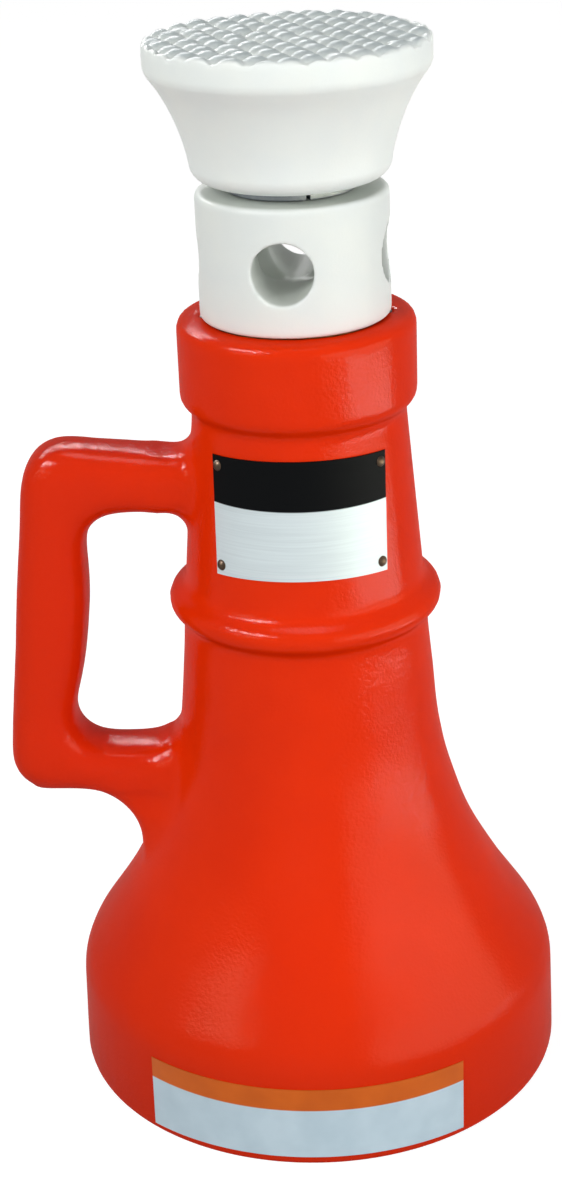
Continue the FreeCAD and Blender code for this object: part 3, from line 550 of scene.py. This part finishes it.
def arm_share(vert):
    """Share of the upper arm's rise at a point: all on top of its far end, and none on the neck and below."""
    on_arm = min(1.0, (vert.co.z - ARM_FOOT) / ARM_FADE, (ARM_ROOT - vert.co.x) / ARM_SLOPE)
    return max(0.0, on_arm) * max(0.0, vert.normal.z)


def faces_inside(vert):
    """Whether a point of the casting lies in its hollow, so faces the screw's axis."""
    outward = Vector((vert.co.x, vert.co.y, 0)).normalized()
    return not on_handle(vert.co) and vert.normal.dot(outward) < INSIDE_FACING


print("waviness", WAVE_DEPTH / MM, "mm deep")

# %% [markdown]
# The copy is drawn out and remeshed, the handle melts and swells, the upper arm rises, and the waviness
# comes last.

# %% Melt and wave
copy_bm = bmesh.new()
copy_bm.from_mesh(nodes["housing"].data)
bmesh.ops.remove_doubles(copy_bm, verts=copy_bm.verts, dist=CAST_MERGE)
for vert in copy_bm.verts:
    if vert.co.z < BASE_EDGE:
        vert.co.z = DRAWN_OUT
casting = link_mesh("housing_cast", copy_bm)
even_skin(casting, CAST_VOXEL)
cast_bm = bmesh.new()
cast_bm.from_mesh(casting.data)
handle_points = [vert for vert in cast_bm.verts if on_handle(vert.co)]
melt(cast_bm, handle_points, HANDLE_MELT)
cast_bm.normal_update()
for vert in handle_points:
    vert.co += vert.normal * HANDLE_SWELL
melt(cast_bm, [vert for vert in cast_bm.verts if vert.co.z < COLLAR_FOOT], CAST_MELT)
cast_bm.normal_update()
for vert in cast_bm.verts:
    vert.co.z += ARM_RISE * arm_share(vert)
cast_bm.normal_update()
for vert in cast_bm.verts:
    swell = (1 + noise_at(vert.co / WAVE_LENGTH)) / 2
    vert.co -= vert.normal * WAVE_DEPTH * swell * wave_share(vert.co)
print("skin points", len(cast_bm.verts))

# %% [markdown]
# Rings of points are cut in near the floor, the last one at the floor itself, and drawn in along a quarter
# circle. The open rim is then filled.

# %% Ground edge
for height in (share * GROUND_ROUND for share in RING_SHARES):
    bmesh.ops.bisect_plane(cast_bm, geom=cast_bm.verts[:] + cast_bm.edges[:] + cast_bm.faces[:],
                           plane_co=(0, 0, height), plane_no=(0, 0, -1), clear_outer=height == 0)
for vert in cast_bm.verts:
    out = math.hypot(vert.co.x, vert.co.y)
    faces_out = vert.normal.dot(Vector((vert.co.x, vert.co.y, 0))) > 0
    if vert.co.z < GROUND_ROUND and out > GROUND_REACH and faces_out:
        rise = max(0.0, GROUND_ROUND - vert.co.z)
        inset = GROUND_ROUND - math.sqrt(max(0.0, GROUND_ROUND ** 2 - rise ** 2))
        vert.co.x *= 1 - inset / out
        vert.co.y *= 1 - inset / out
open_rim = [edge for edge in cast_bm.edges if edge.is_boundary]
bmesh.ops.triangle_fill(cast_bm, use_beauty=True, edges=open_rim)
bmesh.ops.recalc_face_normals(cast_bm, faces=cast_bm.faces)
cast_bm.normal_update()
print("rim edges filled", len(open_rim))

# %% [markdown]
# The faces in the hollow are thinned, and the finished skin takes the solid's place.

# %% Thin inside
inside = [vert.index for vert in cast_bm.verts if faces_inside(vert)]
cast_bm.to_mesh(casting.data)
cast_bm.free()
casting.vertex_groups.new(name="inside").add(inside, 1.0, "REPLACE")
thin = casting.modifiers.new("thin_inside", "DECIMATE")
thin.ratio = FACES_KEPT
thin.vertex_group = "inside"
settle(casting)
casting.data.materials.clear()
casting.data.materials.append(red_enamel)
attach(casting, "housing")
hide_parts("housing")
print("casting triangles", sum(len(face.vertices) - 2 for face in casting.data.polygons))

# %% [markdown]
# ## The load cap
# The cap is cast, so its rim is a rounded band, its flank sweeps in to the foot, and its top is a field of
# blunt, rounded points that grip the load. Cutting grooves with booleans would leave sharp edges. So the
# outline is drawn from a few corners, the corners are bevelled into curves, and the line is spun round the
# axis. The top is divided finely, and pressed down all round each point of a turned square pattern. Noise
# shifts and lowers the points a little, as a sand mould does. This noise takes its seed from the clock
# unless one is set, so a fixed seed keeps the cap the same each run. At the rim the points half sink into
# an even edge, and the press fades out below.

# %% Turned outlines
SPIN_AXIS = (0, 0, 1)
SPIN_MERGE = 0.002 * MM


def midpoint(edge):
    """The middle of an edge."""
    return (edge.verts[0].co + edge.verts[1].co) / 2


def turned(corners, rounds, steps, divide=None):
    """Spin an outline of (radius, height) corners in millimetres about the Z axis.

    rounds gives the corners to bevel, as {corner: (length along its sides in millimetres, segments)}, and
    divide is (corner, cuts) for a straight side after that corner that needs more points.
    """
    bm = bmesh.new()
    places = [Vector((radius * MM, 0, height * MM)) for radius, height in corners]
    verts = [bm.verts.new(place) for place in places]
    for pair in zip(verts, verts[1:]):
        bm.edges.new(pair)
    for corner, (length, segments) in rounds.items():
        sharp = min(bm.verts, key=lambda vert: (vert.co - places[corner]).length)
        bmesh.ops.bevel(bm, geom=[sharp], offset=length * MM, offset_type="OFFSET", segments=segments,
                        profile=0.5, affect="VERTICES", material=-1)
    if divide:
        side, cuts = divide
        middle = (places[side] + places[side + 1]) / 2
        straight = min(bm.edges, key=lambda edge: (midpoint(edge) - middle).length)
        bmesh.ops.subdivide_edges(bm, edges=[straight], cuts=cuts)
    bmesh.ops.spin(bm, geom=bm.verts[:] + bm.edges[:], cent=(0, 0, 0), axis=SPIN_AXIS, dvec=(0, 0, 0),
                   angle=2 * math.pi, steps=steps, use_merge=True, use_duplicate=False)
    bmesh.ops.remove_doubles(bm, verts=bm.verts, dist=SPIN_MERGE)
    bmesh.ops.recalc_face_normals(bm, faces=bm.faces)
    for face in bm.faces:
        face.smooth = True
    return bm


print("outlines spin about", SPIN_AXIS)

# %% Cap with pressed points
CAP_TOP, CAP_FOOT, CAP_ROOF = 320.0, 280.5, 305.2
SPIGOT_ROOM, BUSH_ROOM, ROOM_STEP = 14.3, 16.0, 296.1
FOOT_RADIUS, RIM_RADIUS, RIM_FOOT = 27.9, 39.9, 311.5
FLANK_RADIUS, FLANK_HEIGHT = 29.99, 297.51
CAP_OUTLINE = [
    (0, CAP_ROOF), (SPIGOT_ROOM, CAP_ROOF), (SPIGOT_ROOM, ROOM_STEP),
    (BUSH_ROOM, ROOM_STEP), (BUSH_ROOM, CAP_FOOT), (FOOT_RADIUS, CAP_FOOT),
    (FLANK_RADIUS, FLANK_HEIGHT), (RIM_RADIUS, RIM_FOOT), (RIM_RADIUS, CAP_TOP), (0, CAP_TOP),
]
CAP_ROUNDS = {8: (1.3, 5), 7: (1.5, 5), 6: (12.4, 14), 5: (4.5, 6), 4: (0.5, 2)}
CAP_STEPS, TOP_SIDE, TOP_CUTS = 384, 8, 60
POINT_PITCH, POINT_DEPTH, PRESS_FADE = 6.8, 2.4, 4.4
POINT_TURN, POINT_REACH = math.radians(24), 0.54
POINT_STRAY, POINT_UNEVEN, POINT_MELT = 0.20, 0.32, 2
POINT_SEED = 7
COLUMN_STRIDE, ROW_STRIDE, NOISE_LAYER = 1.7, 2.3, 0.5
RIM_FROM, RIM_FULL, RIM_LEVEL, RIM_SHARE = 37.6, 39.6, 0.45, 0.55


def point_height(along, across):
    """Height of the field of points, 0 to 1, at a place given in pitches."""
    tallest = 0.0
    for column in range(round(along) - 1, round(along) + 2):
        for row in range(round(across) - 1, round(across) + 2):
            stray = noise_vector(Vector((column * COLUMN_STRIDE, row * ROW_STRIDE, NOISE_LAYER)))
            from_peak = math.hypot(along - column - POINT_STRAY * stray.x,
                                   across - row - POINT_STRAY * stray.y)
            dome = math.sqrt(1 - min(1.0, from_peak / POINT_REACH) ** 2)
            tallest = max(tallest, dome * (1 - POINT_UNEVEN * abs(stray.z)))
    return tallest


cap_bm = turned(CAP_OUTLINE, CAP_ROUNDS, CAP_STEPS, (TOP_SIDE, TOP_CUTS))
seed_set(POINT_SEED)
for vert in cap_bm.verts:
    under_top = CAP_TOP - vert.co.z / MM
    if under_top < PRESS_FADE:
        along = (vert.co.x * math.cos(POINT_TURN) + vert.co.y * math.sin(POINT_TURN)) / MM / POINT_PITCH
        across = (vert.co.y * math.cos(POINT_TURN) - vert.co.x * math.sin(POINT_TURN)) / MM / POINT_PITCH
        out = math.hypot(vert.co.x, vert.co.y) / MM
        on_rim = RIM_SHARE * max(0.0, min(1.0, (out - RIM_FROM) / (RIM_FULL - RIM_FROM)))
        level = (1 - on_rim) * point_height(along, across) + on_rim * RIM_LEVEL
        vert.co.z -= POINT_DEPTH * (1 - level) * (1 - under_top / PRESS_FADE) * MM
melt(cap_bm, [vert for vert in cap_bm.verts if vert.co.z > (CAP_TOP - PRESS_FADE) * MM], POINT_MELT)
cap = link_mesh("load_cap_cast", cap_bm)
cap.data.materials.append(cap_white)
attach(cap, "cap")
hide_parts("load_cap")
print("cap faces", len(cap.data.polygons))

# %% [markdown]
# ## The split bush
# The cap turns on a steel bush, slit along its length so that it springs onto the spigot. Its flange shows
# as a pale ring with a dark line in it, in the gap under the cap. The outline is spun nearly all the way
# round, and the two open ends of the slit are filled.

# %% Split bush
BUSH_BORE, BUSH_RADIUS, FLANGE_RADIUS = 14.05, 15.95, 18.5
BUSH_FOOT, FLANGE_TOP, BUSH_TOP = 277.6, 280.3, 295.6
SLIT_WIDTH, SLIT_TURN = 1.2, math.radians(15.5)
BUSH_ROUND, BUSH_STEPS = 0.4, 144
BUSH_OUTLINE = [
    (BUSH_BORE, BUSH_FOOT), (FLANGE_RADIUS, BUSH_FOOT), (FLANGE_RADIUS, FLANGE_TOP),
    (BUSH_RADIUS, FLANGE_TOP), (BUSH_RADIUS, BUSH_TOP), (BUSH_BORE, BUSH_TOP),
]

bush_bm = bmesh.new()
outline = [bush_bm.verts.new((radius * MM, 0, height * MM)) for radius, height in BUSH_OUTLINE]
for pair in zip(outline, outline[1:] + outline[:1]):
    bush_bm.edges.new(pair)
bmesh.ops.bevel(bush_bm, geom=outline[1:3], offset=BUSH_ROUND * MM, offset_type="OFFSET", segments=3,
                profile=0.5, affect="VERTICES", material=-1)
half_slit = SLIT_WIDTH / 2 / FLANGE_RADIUS
bmesh.ops.rotate(bush_bm, verts=bush_bm.verts, cent=(0, 0, 0),
                 matrix=Matrix.Rotation(SLIT_TURN - math.pi / 2 + half_slit, 3, "Z"))
bmesh.ops.spin(bush_bm, geom=bush_bm.verts[:] + bush_bm.edges[:], cent=(0, 0, 0), axis=SPIN_AXIS,
               dvec=(0, 0, 0), angle=2 * (math.pi - half_slit), steps=BUSH_STEPS,
               use_merge=False, use_duplicate=False)
bmesh.ops.holes_fill(bush_bm, edges=[edge for edge in bush_bm.edges if edge.is_boundary], sides=0)
bmesh.ops.recalc_face_normals(bush_bm, faces=bush_bm.faces)
bush = link_mesh("cap_bush_split", bush_bm)
bush.data.materials.append(bush_steel)
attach(bush, "swivel_bearing")
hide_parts("cap_bush")
print("bush faces", len(bush.data.polygons))

# %% [markdown]
# ## The screw's head
# The head is a thick disc with two crossing holes for the bar, and paint has softened every edge. Booleans
# cut the holes, a voxel remesh turns the whole into one even skin, and a few rounds of smoothing melt the
# edges as paint does.

# %% Screw head
HEAD_FOOT, HEAD_TOP, SPIGOT_TOP = 241.3, 277.4, 303.0
BAR_HEIGHT, BAR_RADIUS = 259.35, 8.75
BAR_TURN = math.radians(-6.0)
HEAD_VOXEL, HEAD_MELT = 0.5, 2
HEAD_RADIUS, SPIGOT_RADIUS = 27.4, 14.0
HEAD_OUTLINE = [
    (0, HEAD_FOOT), (HEAD_RADIUS, HEAD_FOOT), (HEAD_RADIUS, HEAD_TOP),
    (SPIGOT_RADIUS, HEAD_TOP), (SPIGOT_RADIUS, SPIGOT_TOP), (0, SPIGOT_TOP),
]
HEAD_ROUNDS = {4: (1.0, 3), 2: (1.5, 5), 1: (1.0, 4)}
HEAD_STEPS, DRILL_LENGTH = 192, 80

head = link_mesh("screw_head_painted", turned(HEAD_OUTLINE, HEAD_ROUNDS, HEAD_STEPS))
drills = []
for turn in (BAR_TURN, BAR_TURN + math.pi / 2):
    drill_bm = bmesh.new()
    heading = Matrix.Rotation(turn, 4, "Z") @ Matrix.Rotation(math.pi / 2, 4, "X")
    bmesh.ops.create_cone(drill_bm, cap_ends=True, segments=ROUND_SEGMENTS, radius1=BAR_RADIUS * MM,
                          radius2=BAR_RADIUS * MM, depth=DRILL_LENGTH * MM,
                          matrix=Matrix.Translation((0, 0, BAR_HEIGHT * MM)) @ heading)
    drill = link_mesh(f"bar_drill_{len(drills) + 1}", drill_bm)
    drills.append(drill)
    hole = head.modifiers.new(drill.name, "BOOLEAN")
    hole.operation = "DIFFERENCE"
    hole.object = drill
settle(head)
for drill in drills:
    bpy.data.objects.remove(drill)
even_skin(head, HEAD_VOXEL * MM)
head_bm = bmesh.new()
head_bm.from_mesh(head.data)
melt(head_bm, head_bm.verts, HEAD_MELT)
head_bm.to_mesh(head.data)
head_bm.free()
head.data.materials.clear()
head.data.materials.append(head_white)
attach(head, "screw")
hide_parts("lifting_screw")
print("head faces", len(head.data.polygons))

# %% [markdown]
# ## The thread
# Below the head runs a trapezoidal thread, 36 mm across with a lead of 6 mm, hidden in the nut at rest and
# in full view when the jack is raised. One tooth's outline is spun with a rise per step, so each turn lands
# on the last one, and the two ends are cut square.

# %% Thread
SCREW_END = 37.0
CREST, ROOT, LEAD = 18.0, 14.7, 6.0
TURN_STEPS = 48
THREAD_TUCK, CLOSE = 0.6, 0.01 * MM
TOOTH = [(ROOT, 0.0), (ROOT, 2.0), (CREST, 2.9), (CREST, 5.1), (ROOT, 6.0)]

turn_count = math.ceil((HEAD_FOOT - SCREW_END) / LEAD) + 2
thread_bm = bmesh.new()
first_root = SCREW_END - LEAD
tooth = [thread_bm.verts.new((radius * MM, 0, (first_root + rise) * MM)) for radius, rise in TOOTH]
tooth_sides = [thread_bm.edges.new(pair) for pair in zip(tooth, tooth[1:])]
bmesh.ops.spin(thread_bm, geom=tooth + tooth_sides, cent=(0, 0, 0), axis=SPIN_AXIS,
               dvec=(0, 0, LEAD * MM / TURN_STEPS), angle=math.tau * turn_count,
               steps=TURN_STEPS * turn_count, use_merge=False, use_duplicate=False)
bmesh.ops.remove_doubles(thread_bm, verts=thread_bm.verts, dist=CLOSE)
for height, outward in ((SCREW_END, -1), (HEAD_FOOT + THREAD_TUCK, 1)):
    everything = thread_bm.verts[:] + thread_bm.edges[:] + thread_bm.faces[:]
    bmesh.ops.bisect_plane(thread_bm, geom=everything, plane_co=(0, 0, height * MM), plane_no=(0, 0, outward),
                           clear_outer=True)
    rim = [edge for edge in thread_bm.edges if edge.is_boundary
           and all(abs(vert.co.z - height * MM) < CLOSE for vert in edge.verts)]
    bmesh.ops.edgeloop_fill(thread_bm, edges=rim)
bmesh.ops.recalc_face_normals(thread_bm, faces=thread_bm.faces)
thread = link_mesh("screw_thread", thread_bm)
thread.data.materials.append(thread_steel)
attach(thread, "screw")
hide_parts("lifting_screw")
print("thread faces", len(thread.data.polygons), "turns", turn_count)
